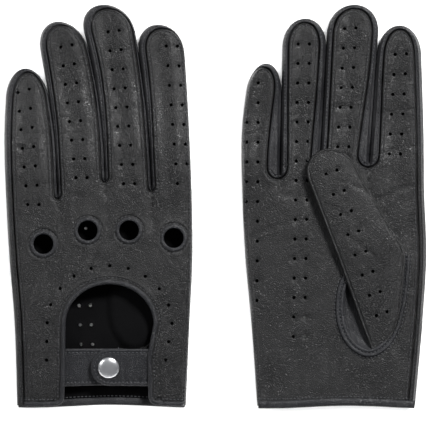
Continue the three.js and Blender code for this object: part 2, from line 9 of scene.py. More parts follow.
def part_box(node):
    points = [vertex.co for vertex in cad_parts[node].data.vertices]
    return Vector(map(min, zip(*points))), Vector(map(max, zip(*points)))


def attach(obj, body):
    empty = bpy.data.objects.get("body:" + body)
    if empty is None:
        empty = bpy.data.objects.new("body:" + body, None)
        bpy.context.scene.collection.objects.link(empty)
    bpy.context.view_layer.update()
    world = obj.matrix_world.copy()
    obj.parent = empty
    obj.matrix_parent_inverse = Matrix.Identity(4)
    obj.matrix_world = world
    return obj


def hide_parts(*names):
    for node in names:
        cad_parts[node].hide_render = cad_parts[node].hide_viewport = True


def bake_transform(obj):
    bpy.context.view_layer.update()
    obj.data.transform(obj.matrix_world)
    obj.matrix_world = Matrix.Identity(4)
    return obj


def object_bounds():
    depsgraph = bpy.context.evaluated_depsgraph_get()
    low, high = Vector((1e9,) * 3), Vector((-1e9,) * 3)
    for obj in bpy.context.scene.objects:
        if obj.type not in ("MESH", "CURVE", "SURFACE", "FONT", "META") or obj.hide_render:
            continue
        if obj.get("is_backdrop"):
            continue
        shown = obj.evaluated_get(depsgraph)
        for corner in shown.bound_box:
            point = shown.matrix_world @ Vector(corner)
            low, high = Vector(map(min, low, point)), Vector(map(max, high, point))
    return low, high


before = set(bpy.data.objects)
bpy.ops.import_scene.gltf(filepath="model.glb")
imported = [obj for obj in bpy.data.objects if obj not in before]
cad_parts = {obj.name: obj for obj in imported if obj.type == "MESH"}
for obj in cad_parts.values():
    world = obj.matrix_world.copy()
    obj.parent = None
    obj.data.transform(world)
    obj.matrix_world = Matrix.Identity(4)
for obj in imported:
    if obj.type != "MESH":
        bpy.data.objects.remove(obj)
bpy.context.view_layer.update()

# Table and light. The gloves lie on a plain white board, seen from straight above. One soft lamp
# stands beyond the fingertips at the right and one at the left; a third lights the board alone.
MM = 0.001
VIEW_HEIGHT = 1.6
VIEW_WIDTH = 0.2494
SENSOR = 0.036
GLOVE_TOP = 0.012
TABLE_HALF = 3

floor_mesh = bpy.data.meshes.new("table")
corners = [(x * TABLE_HALF, y * TABLE_HALF, 0) for x, y in ((-1, -1), (1, -1), (1, 1), (-1, 1))]
floor_mesh.from_pydata(corners, [], [(0, 1, 2, 3)])
floor = bpy.data.objects.new("table", floor_mesh)
bpy.context.collection.objects.link(floor)
floor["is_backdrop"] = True

board = bpy.data.materials.new("white_board")
board.use_nodes = True
board_surface = board.node_tree.nodes["Principled BSDF"].inputs
board_surface["Base Color"].default_value = (0.9, 0.9, 0.9, 1)
board_surface["Roughness"].default_value = 0.9
floor_mesh.materials.append(board)


def soft_lamp(name, place, size, power):
    light = bpy.data.lights.new(name, "AREA")
    light.size = size
    light.energy = power
    lamp = bpy.data.objects.new(name, light)
    lamp.location = place
    lamp.rotation_euler = (-Vector(place)).to_track_quat("-Z", "Y").to_euler()
    bpy.context.collection.objects.link(lamp)
    return lamp


soft_lamp("lamp_right", (0.75, 0.9, 1.2), 0.36, 36)
soft_lamp("lamp_left", (-1.7, 0.5, 1.3), 0.8, 14)
table_lamp = soft_lamp("table_lamp", (0, 0, 2.1), 1.9, 75)
lit = bpy.data.collections.new("lit_by_table_lamp")
lit.objects.link(floor)
table_lamp.light_linking.receiver_collection = lit

room = bpy.data.worlds.new("room")
room.use_nodes = True
backdrop = room.node_tree.nodes["Background"].inputs
backdrop["Color"].default_value = (0.93, 0.95, 1.0, 1)
backdrop["Strength"].default_value = 0.165
bpy.context.scene.world = room
bpy.context.scene.view_settings.view_transform = "Standard"

lens = bpy.data.cameras.new("view")
lens.sensor_width = SENSOR / MM
lens.lens = SENSOR / MM * (VIEW_HEIGHT - GLOVE_TOP) / VIEW_WIDTH
camera = bpy.data.objects.new("view", lens)
camera.location = (-0.0003, -0.0038, VIEW_HEIGHT)
bpy.context.collection.objects.link(camera)
bpy.context.scene.camera = camera


# Hand leather. Each glove is a flat tube of black nappa, cut as a back and a palm panel that
# carry their four finger stalls, with narrow fourchettes sewn between the fingers. The back
# wraps round the index side and the palm round the little side; air holes are punched in rows.
class Shade:
    """A socket on its way through a material's nodes, which takes part in sums."""

    def __init__(self, tree, socket=None):
        self.tree = tree
        self.socket = socket

    def node(self, kind, settings=None, inputs=None, out=0):
        node = self.tree.nodes.new("ShaderNode" + kind)
        for key, value in (settings or {}).items():
            if key == "stops":
                for stop, (place, shade) in zip(node.color_ramp.elements, value):
                    stop.position = place
                    stop.color = shade
            else:
                setattr(node, key, value)
        for key, value in (inputs or {}).items():
            if isinstance(value, Shade):
                self.tree.links.new(value.socket, node.inputs[key])
            else:
                node.inputs[key].default_value = value
        return Shade(self.tree, node.outputs[out])

    def sum(self, operation, first, second):
        return self.node("Math", {"operation": operation}, {0: first, 1: second})

    def __add__(self, other):
        return self.sum("ADD", self, other)

    def __radd__(self, other):
        return self.sum("ADD", other, self)

    def __sub__(self, other):
        return self.sum("SUBTRACT", self, other)

    def __rsub__(self, other):
        return self.sum("SUBTRACT", other, self)

    def __mul__(self, other):
        return self.sum("MULTIPLY", self, other)

    def __rmul__(self, other):
        return self.sum("MULTIPLY", other, self)

    def band(self, low, high):
        """0 below low, 1 above high, smooth between."""
        settings = {"interpolation_type": "SMOOTHSTEP"}
        return self.node("MapRange", settings, {"Value": self, "From Min": low, "From Max": high})

    def mix(self, dark, light):
        """A colour between two, by this value."""
        settings = {"data_type": "RGBA"}
        return self.node("Mix", settings, {0: self, 6: dark, 7: light}, out=2)


def start_material(name):
    material = bpy.data.materials.new(name)
    material.use_nodes = True
    shade = Shade(material.node_tree)
    surface = material.node_tree.nodes["Principled BSDF"]
    return material, shade, surface


def feed(surface, **values):
    for key, value in values.items():
        socket = surface.inputs[key.replace("_", " ")]
        if isinstance(value, Shade):
            value.tree.links.new(value.socket, socket)
        else:
            socket.default_value = value


def nappa(name, dark, light, gloss, grain):
    """Dyed lambskin: fine pebbles with creased skin between them, polished where it rubs."""
    material, shade, surface = start_material(name)
    spot = shade.node("TexCoord", out=3)
    bent = shade.node("TexNoise", {"noise_dimensions": "3D"}, {"Vector": spot, "Scale": 260.0}, out=1)
    drift = shade.node("VectorMath", {"operation": "SCALE"}, {0: bent, "Scale": 0.0009})
    grain_spot = shade.node("VectorMath", {"operation": "ADD"}, {0: spot, 1: drift})
    skin = {"feature": "DISTANCE_TO_EDGE"}
    pebble = shade.node("TexVoronoi", skin, {"Vector": grain_spot, "Scale": 1050.0})
    fine = shade.node("TexNoise", {}, {"Vector": spot, "Scale": 2600.0, "Detail": 3.0})
    broad = shade.node("TexNoise", {}, {"Vector": spot, "Scale": 140.0, "Detail": 4.0})
    patch = shade.node("TexNoise", {}, {"Vector": spot, "Scale": 38.0, "Detail": 2.0})
    cell = pebble.band(0.02, 0.3)
    worn = patch.band(0.35, 0.7)
    colour = (cell * 0.7 + worn * 0.3).mix(dark, light)
    rough = gloss + (1 - cell) * 0.2 + worn * 0.1 + broad * 0.12 - 0.08
    relief = cell * (0.7 * grain) + fine * 0.35 + broad * 1.6
    bump = shade.node("Bump", {}, {"Strength": 0.9, "Distance": 0.0003, "Height": relief})
    feed(surface, Base_Color=colour, Roughness=rough, Normal=bump, Specular_IOR_Level=0.55)
    return material


LEATHER_DARK = (0.0056, 0.0056, 0.006, 1)
LEATHER_LIGHT = (0.0142, 0.014, 0.0142, 1)
back_leather = nappa("glove_nappa", LEATHER_DARK, LEATHER_LIGHT, 0.31, 1.0)
side_leather = nappa("fourchette_nappa", (0.006, 0.006, 0.0075, 1), (0.014, 0.0145, 0.018, 1), 0.36, 0.8)


def suede(name):
    """The bare inner side of the skin: matt, near black, with a short nap."""
    material, shade, surface = start_material(name)
    spot = shade.node("TexCoord", out=3)
    nap = shade.node("TexNoise", {}, {"Vector": spot, "Scale": 1900.0, "Detail": 4.0})
    colour = nap.mix((0.0012, 0.0012, 0.0015, 1), (0.0045, 0.0045, 0.005, 1))
    bump = shade.node("Bump", {}, {"Strength": 0.9, "Distance": 0.0003, "Height": nap})
    feed(surface, Base_Color=colour, Roughness=0.95, Normal=bump, Specular_IOR_Level=0.12)
    return material


lining = suede("suede_lining")

FINGERS = ("little", "ring", "middle", "index")
FINGER_SLOT = 0.04
TIP_ROUND = 17.0
TIP_POWER = 2.1
TIP_SEAM = 2.4
CUFF_LINE = 1.0
CUFF_WAVE = (0.8, 15.0, 8.0)
SNAP_X = 5.6
STRAP_Y = 22.7
LEATHER = 0.9
LITTLE_WRAP = 4.2
INDEX_WRAP = 4.4
TABLE_GAP = 0.05
SPLIT_RISE = 5.0
HOLE_RADIUS = 1.0
KNUCKLE_RADIUS = 5.75
KNUCKLES = ((-31.9, 94.4), (-6.3, 102.2), (17.6, 102.3), (43.4, 97.9))
KEYHOLE_CENTRE = (6.3, 48.0)
KEYHOLE_RADII = (25.7, 23.5)
KEYHOLE_LEGS = (-20.6, 28.8)
LEG_CORNER = 5.0
HAND_POWER = 3.4
STALL_POWER = 2.5
EDGE_SHARE = 0.04
FINGER_ROOT = 130.0
CROTCH_BLEND = (-16, 6)
# the gloves' thickness, and the level of each glove's under side, from cuff to fingertips
HEIGHTS = ((0, 8.7), (36, 8.7), (60, 11), (141, 11), (165, 8.5), (240, 8.5))
LEFT_BOTTOMS = ((0, 0.4), (36, 7.8), (156, 7.8), (190, 0.1), (240, 0.1))
RIGHT_BOTTOMS = ((0, 2.3), (36, 2.3), (60, 0.1), (240, 0.1))


def smooth(low, high, value):
    t = np.clip((np.asarray(value, float) - low) / (high - low), 0, 1)
    return t * t * (3 - 2 * t)


def soft_steps(knots, y):
    """A line through knots whose corners are eased over 12 mm."""
    places, levels = zip(*knots)
    return sum(np.interp(np.asarray(y) + d, places, levels) for d in (-6, -3, 0, 3, 6)) / 5


def curve(points, at):
    """A smooth line through [y, value] points, straight beyond its ends."""
    ys, values = np.array(points, float).T
    slopes = np.gradient(values, ys)
    at = np.asarray(at, float)
    i = np.clip(np.searchsorted(ys, at) - 1, 0, len(ys) - 2)
    width = ys[i + 1] - ys[i]
    t = np.clip((at - ys[i]) / width, 0, 1)
    rise = values[i + 1] - values[i]
    bend = (slopes[i] * width - rise) * (1 - t) - (slopes[i + 1] * width - rise) * t
    inside = values[i] + rise * t + t * (1 - t) * bend
    return inside + np.minimum(at - ys[0], 0) * slopes[0] + np.maximum(at - ys[-1], 0) * slopes[-1]


def resample(points, step, closed=False):
    """The same line with its points evenly spaced, about step apart."""
    points = np.asarray(points, float)
    if closed:
        points = np.vstack([points, points[:1]])
    along = np.concatenate([[0], np.cumsum(np.hypot(*np.diff(points, axis=0).T[:2]))])
    count = max(int(round(along[-1] / step)), 2)
    at = np.linspace(0, along[-1], count + 1)
    line = np.column_stack([np.interp(at, along, points[:, k]) for k in range(points.shape[1])])
    return line[:-1] if closed else line


def unit(vectors):
    return vectors / np.maximum(np.linalg.norm(vectors, axis=1), 1e-12)[:, None]


def line_sides(points):
    """Unit vectors to the right of a line's direction of travel."""
    way = unit(np.gradient(points, axis=0))
    return np.column_stack([way[:, 1], -way[:, 0]])


def beside(line, offset):
    """The same line moved to its right by offset."""
    return line + line_sides(line) * offset


def slope_normals(height, x, y, sign, step=0.07):
    """Outward normals of a face, from its height a small step to each side."""
    slope_x = (height(x + step, y) - height(x - step, y)) / (2 * step)
    slope_y = (height(x, y + step) - height(x, y - step)) / (2 * step)
    return unit(np.column_stack([-slope_x, -slope_y, np.ones(len(x))])) * sign


def inside(points, loop):
    """Which points lie inside a closed loop."""
    x, y = points[:, 0][:, None], points[:, 1][:, None]
    x0, y0 = loop[:, 0][None], loop[:, 1][None]
    x1, y1 = np.roll(x0, -1, 1), np.roll(y0, -1, 1)
    rise = np.where(y1 == y0, 1e-12, y1 - y0)
    crossed = ((y0 > y) != (y1 > y)) & (x < (x1 - x0) * (y - y0) / rise + x0)
    return crossed.sum(axis=1) % 2 == 1


def near(tree, x, y):
    """Distance of each point from the points in a tree."""
    find = tree.find
    return np.array([find((a, b, 0))[2] for a, b in zip(np.ravel(x), np.ravel(y))])


def point_tree(points):
    tree = KDTree(len(points))
    for i, (x, y) in enumerate(points):
        tree.insert((x, y, 0), i)
    tree.balance()
    return tree


def swell(x, y, scale, seed):
    return np.array([noise.noise(Vector((a / scale, b / scale, seed))) for a, b in zip(x, y)])


def keyhole_path(outset, step, reach=(0.0, 0.0)):
    """The wrist opening's edge, up the little-finger leg, over the arch and down the other,
    moved out by outset. Its round corners meet the cuff, and reach carries it on along that."""
    cx, cy = KEYHOLE_CENTRE
    rx, ry = KEYHOLE_RADII[0] + outset, KEYHOLE_RADII[1] + outset
    turn = np.linspace(math.pi, 0, 40)
    arch = np.column_stack([cx + rx * np.cos(turn), cy + ry * np.sin(turn)])
    round_end = max(LEG_CORNER - outset, 0.4)
    level = CUFF_LINE + outset
    turn = np.linspace(0, math.pi / 2, 7)
    corner = np.column_stack([round_end * (1 - np.sin(turn)), round_end * (1 - np.cos(turn))])
    left_x, right_x = KEYHOLE_LEGS[0] - outset, KEYHOLE_LEGS[1] + outset
    left = np.column_stack([left_x - corner[:, 0], level + corner[:, 1]])
    right = np.column_stack([right_x + corner[:, 0], level + corner[:, 1]])[::-1]
    left = np.vstack([[(left_x - round_end - reach[0], level)], left, [(left_x + 0.6, 24)]])
    right = np.vstack([[(right_x - 0.6, 29)], right, [(right_x + round_end + reach[1], level)]])
    return resample(np.vstack([left, arch, right]), step)


class Glove:
    """One glove's pattern, in millimetres from the middle of its cuff, little finger at -x."""

    def __init__(self, side, palm_up, bottoms, edges, tips, crotches):
        low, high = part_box(side + "_snap_cap")
        self.side = side
        self.palm_up = palm_up
        self.bottoms = bottoms
        self.edges = edges
        self.tips = tips
        self.crotches = crotches
        self.x = (low.x + high.x) / 2 / MM - SNAP_X
        self.y = (low.y + high.y) / 2 / MM - STRAP_Y
        self.hand = side + "_hand"

    def sides(self, f, y):
        left = curve(self.edges[f], y) + (FINGER_SLOT / 2 if f > 0 else 0)
        right = curve(self.edges[f + 1], y) - (FINGER_SLOT / 2 if f < 3 else 0)
        return left, right

    def centre(self, f, y):
        return sum(self.sides(f, y)) / 2

    def lanes(self, x, y):
        """The five lines that part the fingers, and which finger's lane each point is in."""
        lines = [curve(edge, y) for edge in self.edges]
        return lines, sum((x > lines[i]).astype(int) for i in (1, 2, 3))

    def split(self, f):
        """Levels, at a finger's two sides, where its leather passes from hand to finger."""
        crotch = self.crotches
        return (crotch[max(f - 1, 0)] + SPLIT_RISE, crotch[min(f, 2)] + SPLIT_RISE)

    def form(self, sign, x, y):
        """Height of the upper (sign 1) or lower (sign -1) face before its relief."""
        lines, f = self.lanes(x, y)
        middle = (lines[4] + lines[0]) / 2
        u = np.clip(np.abs(x - middle) / ((lines[4] - lines[0]) / 2), 0, 1)
        hand = (1 - u**HAND_POWER) ** (1 / HAND_POWER)
        stalls = [self.sides(i, y) for i in range(4)]
        left = np.choose(f, [stall[0] for stall in stalls])
        right = np.choose(f, [stall[1] for stall in stalls])
        tip = np.choose(f, [np.full_like(y, t) for t in self.tips])
        v = np.clip((y - (tip - TIP_ROUND)) / TIP_ROUND, 0, 1)
        share = np.maximum(1 - v**TIP_POWER, 0) ** (1 / TIP_POWER)
        half = np.maximum((right - left) / 2 * share, 1e-3)
        u = np.clip(np.abs(x - (left + right) / 2) / half, 0, 1)
        stall = (1 - u**STALL_POWER) ** (1 / STALL_POWER) * share**0.45
        levels = [self.crotches[i] for i in (0, 0, 1, 2, 2)]
        crotch = np.full_like(y, float(levels[0]))
        for i in range(4):
            t = np.clip((x - lines[i]) / (lines[i + 1] - lines[i]), 0, 1)
            crotch = np.where(x > lines[i], levels[i] + (levels[i + 1] - levels[i]) * t, crotch)
        t = smooth(*CROTCH_BLEND, y - crotch)
        dome = np.maximum(hand * (1 - t) + stall * t, EDGE_SHARE)
        half = soft_steps(HEIGHTS, y) / 2
        return soft_steps(self.bottoms, y) + half + sign * half * dome

    def place(self, x, y, z):
        wave = np.cos((x - CUFF_WAVE[2]) / CUFF_WAVE[1]) * CUFF_WAVE[0] * (1 - smooth(2, 20, y))
        return np.column_stack([self.x + x, self.y + y + wave, z]) * MM

    def spot(self, x, y, z=8.0):
        return ((self.x + x) * MM, (self.y + y) * MM, z * MM)


def stall_line(glove, f, left_in, right_in, tip_in, lift):
    """One finger's outline, set in by the given amounts, from crotch to crotch over the tip."""
    low, high = glove.crotches[max(f - 1, 0)] + lift, glove.crotches[min(f, 2)] + lift
    start = glove.tips[f] - TIP_ROUND

    def across(y, way, share):
        left, right = glove.sides(f, y)
        left = left + left_in(y)
        right = right - right_in(y)
        return (left + right) / 2 + way * share * (right - left) / 2

    turn = np.linspace(0.12, math.pi / 2 - 0.04, 12)
    share = np.cos(turn) ** (2 / TIP_POWER)
    tip = start + (TIP_ROUND - tip_in) * np.sin(turn) ** (2 / TIP_POWER)
    up, down = np.linspace(low, start, 30), np.linspace(start, high, 30)
    parts = ((up, -1, 1), (tip, -1, share), (tip[::-1], 1, share[::-1]), (down, 1, 1))
    return np.vstack([np.column_stack([across(y, way, part), y]) for y, way, part in parts])


def glove_line(glove, insets, tip_in=0.0, sag=0.0, lift=0.0):
    """The whole outline from cuff to cuff. insets gives each finger's left and right inset."""
    first, last = insets[0][0], insets[3][1]
    rise = np.linspace(CUFF_LINE, glove.crotches[0] - 1, 50)
    parts = [np.column_stack([glove.sides(0, rise)[0] + first(rise), rise])]
    for f in range(4):
        line = stall_line(glove, f, insets[f][0], insets[f][1], tip_in, lift)
        parts.append(line)
        if f < 3:
            level = glove.crotches[f] + lift
            left = line[-1, 0]
            right = glove.sides(f + 1, level)[0] + insets[f + 1][0](level)
            turn = np.linspace(math.pi, 2 * math.pi, 9)[1:-1]
            half = (right - left) / 2
            u_x = (left + right) / 2 + half * np.cos(turn)
            parts.append(np.column_stack([u_x, level + (half + sag) * np.sin(turn)]))
    fall = np.linspace(glove.crotches[2] - 1, CUFF_LINE, 50)
    parts.append(np.column_stack([glove.sides(3, fall)[1] - last(fall), fall]))
    return np.vstack(parts)


def steady(amount):
    return lambda y: amount + 0 * np.asarray(y)


def easing(amount, tip_amount):
    """An inset that changes from one amount at the crotches to another at the fingertips."""
    return lambda y: amount + (tip_amount - amount) * smooth(140, 205, y)


SEAM_INSETS = {
    "back": (
        (steady(LITTLE_WRAP), easing(2.2, 1.6)),
        (easing(2.2, 3.8), easing(2.2, 1.4)),
        (easing(2.2, 4.6), easing(2.2, 1.4)),
        (easing(2.2, 4.4), steady(0.0)),
    ),
    "palm": (
        (steady(0.0), easing(7.6, 3.0)),
        (easing(4.2, 3.4), easing(5.4, 4.0)),
        (easing(3.8, 3.6), easing(7.2, 3.6)),
        (easing(5.4, 4.0), steady(INDEX_WRAP)),
    ),
}
# how far a seam dips below its finger stall's end, and how far that lies above the crotch
SEAM_ENDS = {"back": (1.5, 0.7), "palm": (0.5, 4.0)}
# rows of air holes: finger, distance below its tip, lowest level, how many, how far the row
# stands off the finger's middle at its top and its bottom, and the tilt of its top pair
HOLE_ROWS = {
    "back": (
        (0, 13.3, 117.2, 7, -1.8, 1.5, 2.0),
        (1, 14.5, 132.8, 8, 1.8, 0.5, 1.2),
        (2, 15.6, 129.3, 9, 2.5, 0.6, 0.7),
        (3, 12.7, 129.3, 8, 6.5, 6.8, 0.0),
    ),
    "palm": (
        (0, 11.5, 61.5, 12, -6.9, -5.6, 0.0),
        (1, 15.0, 40.6, 16, -0.4, -0.1, 0.0),
        (2, 13.9, 150.8, 7, -1.7, -1.4, 0.4),
        (3, 16.9, 146.7, 6, 0.8, -1.3, 0.4),
    ),
}
PAIR_SPACING = 6.5
HOLE_MARGIN = 1.9
HOLE_TO_SEAM = 1.5
# the rows of the face that lies on the table stand aside from those above
UNDER_SHIFT = (3.2, 4.5)
KEYHOLE_ROW = (10.4, 10.6)
# how far the leather rises beside a seam, a knuckle hole's centre and the keyhole's edge:
# distances, then heights
SEAM_RELIEF = ((0, 0.35, 0.8, 1.2, 1.65, 2.1, 2.9, 4.5), (-1.6, -0.6, 0.4, 0.2, -0.4, 0.25, 0.3, 0))
RING_RELIEF = ((7.3, 7.7, 8.1, 8.5, 8.9, 9.4, 10.5), (0, 0.3, 0, -0.6, 0, 0.25, 0))
ARCH_RELIEF = ((2.3, 2.7, 3.1, 3.6, 4.1, 4.6, 6), (0, -0.4, 0.1, -0.35, 0.3, 0.2, 0))
# the long fold on each finger: its crest and its width, as shares of the finger's width
FOLD_CREST = 0.72
FOLD_PITCH = 0.58
THUMB_OVAL = ((42, 89), (40.5, 68), (38.6, 57), (36, 46), (30.5, 36), (21, 30), (11.6, 34), (6, 42),
              (3.4, 51), (3.2, 61), (5, 72), (14, 84), (28, 92))


def ring_points(x, y, radius, count):
    turn = np.arange(count) * 2 * math.pi / count
    return np.column_stack([x + radius * np.cos(turn), y + radius * np.sin(turn)])


def creases(x, y, folds):
    """Depth of soft folds: each has a place, direction, length, width and depth."""
    depth = np.zeros(len(x))
    for fold_x, fold_y, angle, length, width, deep in folds:
        c, s = math.cos(math.radians(angle)), math.sin(math.radians(angle))
        dx, dy = x - fold_x, y - fold_y
        along = (dx * c + dy * s) / length
        across = (dy * c - dx * s + 0.12 * length * along**2) / width
        depth += deep * np.exp(-(across**2) - along**4) * (1 - 0.9 * across**2)
    return depth


class Face:
    """The back or the palm of a glove: its lines, holes and the height of its leather."""

    def __init__(self, glove, face, folds):
        self.glove = glove
        self.face = face
        self.sign = 1 if (face == "back") != glove.palm_up else -1
        self.folds = folds
        self.outline = resample(glove_line(glove, [(steady(0.0), steady(0.0))] * 4), 1.6)
        self.seam = resample(glove_line(glove, SEAM_INSETS[face], TIP_SEAM, *SEAM_ENDS[face]), 1.5)
        self.seam_tree = point_tree(resample(self.seam, 0.25))
        self.holes = [(x, y, HOLE_RADIUS) for x, y in self.hole_places()]
        self.seed = 3.7 if glove.palm_up else 11.3
        self.rim_tree = self.keyhole_tree = point_tree([(-999, -999)])
        if face == "back":
            self.holes += [(x, y, KNUCKLE_RADIUS) for x, y in KNUCKLES]
            self.rim_tree = point_tree(KNUCKLES)
            self.keyhole_tree = point_tree(keyhole_path(0, 0.3))
        self.outline_tree = point_tree(resample(self.outline, 0.25))
        self.hole_tree = point_tree([hole[:2] for hole in self.holes])
        self.oval = resample(THUMB_OVAL, 1.5, closed=True)
        self.oval_tree = point_tree(resample(self.oval, 0.4, closed=True))

    def hole_places(self):
        glove = self.glove
        places = []
        side_shift, shift = (0, 0) if self.sign > 0 else UNDER_SHIFT
        for f, drop, low, count, top_off, low_off, tilt in HOLE_ROWS[self.face]:
            high = glove.tips[f] - drop - shift
            x_high = float(glove.centre(f, high)) + top_off + side_shift
            x_low = float(glove.centre(f, max(low, FINGER_ROOT))) + low_off + side_shift
            for i in range(count):
                t = i / (count - 1)
                for way in (-1, 1):
                    x = x_high + (x_low - x_high) * t + way * PAIR_SPACING / 2
                    y = high + (low - shift - high) * t + way * tilt / 2 * (1 - t)
                    left, right = glove.sides(f, y)
                    if y < glove.crotches[min(f, 2)]:
                        left, right = glove.sides(0, y)[0], glove.sides(3, y)[1]
                    clear = near(self.seam_tree, [x], [y])[0] > HOLE_TO_SEAM
                    if clear and left + HOLE_MARGIN < x < right - HOLE_MARGIN:
                        places.append((x, y))
        if self.face == "back":
            ring = keyhole_path(KEYHOLE_ROW[0], 0.5)
            places += [tuple(point) for point in resample(ring[ring[:, 1] > 27], KEYHOLE_ROW[1])]
        return places

    def height(self, x, y):
        glove = self.glove
        rim = near(self.outline_tree, x, y)
        gap = near(self.hole_tree, x, y)
        relief = np.interp(near(self.seam_tree, x, y), *SEAM_RELIEF)
        # the palm's folded outer seam, then swells of three sizes and the fingers' long folds
        relief += 0.8 * np.exp(-(((rim - 2.0) / 0.6) ** 2)) * (self.face == "palm")
        relief += 1.5 * swell(x, y, 30, self.seed) + 0.5 * swell(x, y, 11, self.seed + 5)
        relief += 0.45 * swell(x, y * 0.3, 6, self.seed + 9)
        relief += 0.7 * self.stall_folds(x, y)
        relief += np.interp(near(self.rim_tree, x, y), *RING_RELIEF)
        relief += np.interp(near(self.keyhole_tree, x, y), *ARCH_RELIEF)
        relief -= 0.22 * (1 - smooth(HOLE_RADIUS, HOLE_RADIUS + 1.1, gap))
        relief -= creases(x, y, self.folds)
        if self.face == "palm":
            # the thumb's opening lies lower, under the folded thumb
            dish = inside(np.column_stack([x, y]), self.oval) * near(self.oval_tree, x, y)
            relief -= 2.6 * smooth(0.8, 5.5, dish)
        relief *= smooth(0, 1.6, rim)
        return np.maximum(glove.form(self.sign, x, y) + self.sign * relief, TABLE_GAP)

    def stall_folds(self, x, y):
        """Soft folds along each finger, where its flattened tube is pressed on the table."""
        lines, f = self.glove.lanes(x, y)
        left, right = np.choose(f, lines[:4]), np.choose(f, lines[1:])
        u = (x - left) / (right - left)
        level = self.glove.crotches[1]
        return np.cos(2 * math.pi * (u - FOLD_CREST) / FOLD_PITCH) * smooth(level - 22, level + 8, y)

    def surface(self, xy):
        """Places in metres and outward normals for points of the pattern."""
        x, y = xy[:, 0], xy[:, 1]
        z = self.height(x, y)
        return self.glove.place(x, y, z), slope_normals(self.height, x, y, self.sign)


EDGE_ROWS = (0.12, 0.45, 1.0, 1.5, 2.0, 2.6, 3.3)


def lay_mesh(lines, loops, outline, seam, step, rows_beside=()):
    """Triangles over a pattern: fixed lines, hole loops, rows beside the edges, then a grid."""
    points, edges = [], []

    def fix(line, closed):
        first = len(points)
        points.extend(map(tuple, line))
        links = [(first + i, first + i + 1) for i in range(len(line) - 1)]
        edges.extend(links + ([(first + len(line) - 1, first)] if closed else []))

    for line in lines:
        fix(line, False)
    for loop in loops:
        fix(loop, True)
    rim_tree = point_tree(resample(outline, 0.25))
    free = list(rows_beside)
    rows = [(outline, offset) for offset in EDGE_ROWS]
    rows += [(seam, way * offset) for offset in SEAM_RELIEF[0][1:-1] for way in (-1, 1)]
    for line, offset in rows:
        row = beside(line, offset)
        row = row[inside(row, outline)]
        depth = near(rim_tree, row[:, 0], row[:, 1])
        keep = depth > (offset * 0.85 if line is outline else 0.5)
        free.append(row[keep])
    for loop in loops:
        centre = loop.mean(axis=0)
        for grow in (1.35, 1.8) if len(loop) < 16 else (1.12, 1.3):
            free.append(centre + (loop - centre) * grow)
    crowd = point_tree(np.vstack([outline] + free + list(loops) + list(lines)))
    low, high = outline.min(axis=0), outline.max(axis=0)
    grid = []
    for row, y in enumerate(np.arange(low[1], high[1], step * 0.866)):
        shift = step / 2 if row % 2 else 0
        grid.extend((x + shift, y) for x in np.arange(low[0], high[0], step))
    grid = np.array(grid)
    grid = grid[inside(grid, outline)]
    grid = grid[near(crowd, grid[:, 0], grid[:, 1]) > step * 0.55]
    free = np.vstack(free + [grid])
    fixed = point_tree(points)
    free = free[near(fixed, free[:, 0], free[:, 1]) > 0.1]
    points.extend(map(tuple, free))
    result = geometry.delaunay_2d_cdt([Vector(p) for p in points], edges, [], 0, 1e-4)
    return np.array([tuple(v) for v in result[0]]), np.array(result[2])


def make_object(name, places, faces, material, normals=None, lined=None):
    mesh = bpy.data.meshes.new(name)
    mesh.from_pydata(places.tolist(), [], faces)
    mesh.polygons.foreach_set("use_smooth", [True] * len(faces))
    if normals is not None:
        mesh.normals_split_custom_set(normals)
    mesh.materials.append(material)
    if lined is not None:
        mesh.materials.append(lining)
        mesh.polygons.foreach_set("material_index", lined)
    piece = bpy.data.objects.new(name, mesh)
    bpy.context.collection.objects.link(piece)
    return piece


def closed_shell(outer, inner, triangles):
    """A closed solid between two (places, normals) sheets, and which of its faces are inner."""
    corner = outer[0][triangles]
    turn = np.cross(corner[:, 1] - corner[:, 0], corner[:, 2] - corner[:, 0])
    if (turn * outer[1][triangles[:, 0]]).sum() < 0:
        triangles = triangles[:, ::-1]
    count = len(outer[0])
    pairs = np.vstack([triangles[:, [0, 1]], triangles[:, [1, 2]], triangles[:, [2, 0]]])
    known = {(a, b) for a, b in pairs.tolist()}
    walls = sorted([b, a, a + count, b + count] for a, b in known if (b, a) not in known)
    places = np.vstack([outer[0], inner[0]])
    normals = outer[1][triangles].reshape(-1, 3).tolist()
    normals += inner[1][triangles[:, ::-1]].reshape(-1, 3).tolist()
    for a, b, c in places[walls][:, :3]:
        out = np.cross(b - a, c - a)
        normals += [(out / max(np.linalg.norm(out), 1e-12)).tolist()] * 4
    faces = triangles.tolist() + (triangles[:, ::-1] + count).tolist() + walls
    return places, faces, normals, [0] * len(triangles) + [1] * (len(triangles) + len(walls))


def leather_solids(sheets, name, material):
    """One object from (places, normals, triangles) sheets, each given the leather's thickness."""
    places, faces, normals, lined = [], [], [], []
    for sheet_places, sheet_normals, triangles in sheets:
        used, index = np.unique(triangles, return_inverse=True)
        skin, out = sheet_places[used], sheet_normals[used]
        shell = closed_shell((skin, out), (skin - out * LEATHER * MM, -out), index.reshape(-1, 3))
        first = sum(len(part) for part in places)
        places.append(shell[0])
        faces += [[k + first for k in face] for face in shell[1]]
        normals += shell[2]
        lined += shell[3]
    return make_object(name, np.vstack(places), faces, material, normals, lined)


FOLDS = (162.0, 170.0, 174.0, 169.0)
MESH_STEP = 2.1


def ride_finger(piece, glove, f):
    """Bakes a piece of finger leather in place; the points below and above its fold are found but not
    used.
    """
    fold = FOLDS[f]
    x = float(glove.centre(f, fold))
    glove.spot(x, fold - 15)
    glove.spot(x, fold + 13)
    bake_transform(piece)


def finger_of(glove, points):
    """Which finger each point of the pattern belongs to, or -1 for the hand."""
    finger = np.full(len(points), -1)
    for f in range(4):
        left, right = (curve(glove.edges[f + k], points[:, 1]) for k in (0, 1))
        low, high = glove.split(f)
        level = low + (high - low) * (points[:, 0] - left) / (right - left)
        finger[(points[:, 0] > left) & (points[:, 0] < right) & (points[:, 1] > level)] = f
    return finger


